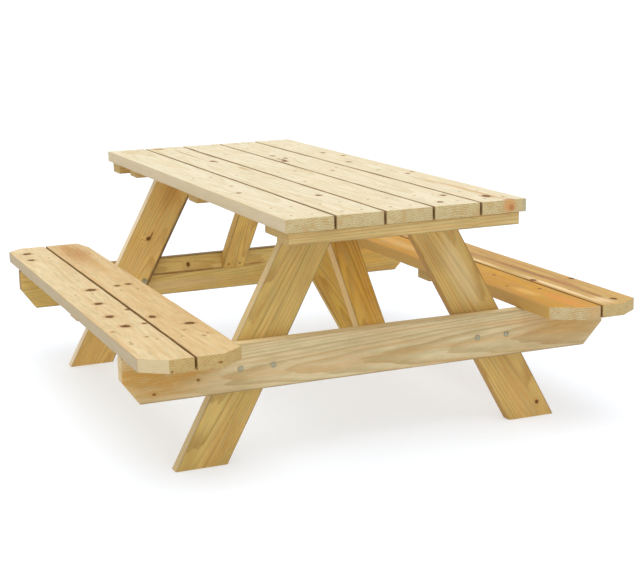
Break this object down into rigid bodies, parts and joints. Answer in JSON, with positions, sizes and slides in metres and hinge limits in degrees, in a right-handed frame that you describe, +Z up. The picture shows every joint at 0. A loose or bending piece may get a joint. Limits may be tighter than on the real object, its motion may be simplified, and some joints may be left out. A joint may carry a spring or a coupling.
{
  "type": "picnic table",
  "caption": "Softwood picnic table with two attached benches on leaning A-frame legs, cross beams, cleats, diagonal braces and galvanised carriage bolts.",
  "frame": {"origin": "on the ground under the middle of the table", "axes": "+Z up, +Y along the boards from the front end to the back end, +X across the table from the left bench to the right bench"},
  "size_m": [1.558, 1.829, 0.746],
  "materials": {
    "top_wood": "planed pale pine",
    "bench_wood": "planed pale pine with knots",
    "cleat_wood": "planed pine",
    "frame_wood": "planed yellow pine",
    "galvanised_bolts": "dull zinc",
    "coated_screws": "dull zinc"
  },
  "bodies": {
    "root": {"top_board_1": "top_wood", "top_board_2": "top_wood", "top_board_3": "top_wood", "top_board_4": "top_wood", "top_board_5": "top_wood", "bench_left_outer": "bench_wood", "bench_left_inner": "bench_wood", "bench_right_inner": "bench_wood", "bench_right_outer": "bench_wood", "cleat_front_outer": "cleat_wood", "cleat_front_inner": "cleat_wood", "cleat_centre": "cleat_wood", "cleat_back_inner": "cleat_wood", "cleat_back_outer": "cleat_wood", "seat_batten_left": "cleat_wood", "seat_batten_right": "cleat_wood", "leg_front_left": "frame_wood", "leg_front_right": "frame_wood", "leg_back_left": "frame_wood", "leg_back_right": "frame_wood", "seat_beam_front": "frame_wood", "seat_beam_back": "frame_wood", "brace_front": "frame_wood", "brace_back": "frame_wood", "carriage_bolts": "galvanised_bolts", "bolt_washers": "galvanised_bolts", "bolt_nuts": "galvanised_bolts", "top_screws": "coated_screws", "bench_screws": "coated_screws", "leg_screws": "coated_screws", "brace_screws": "coated_screws"}
  },
  "joints": []
}
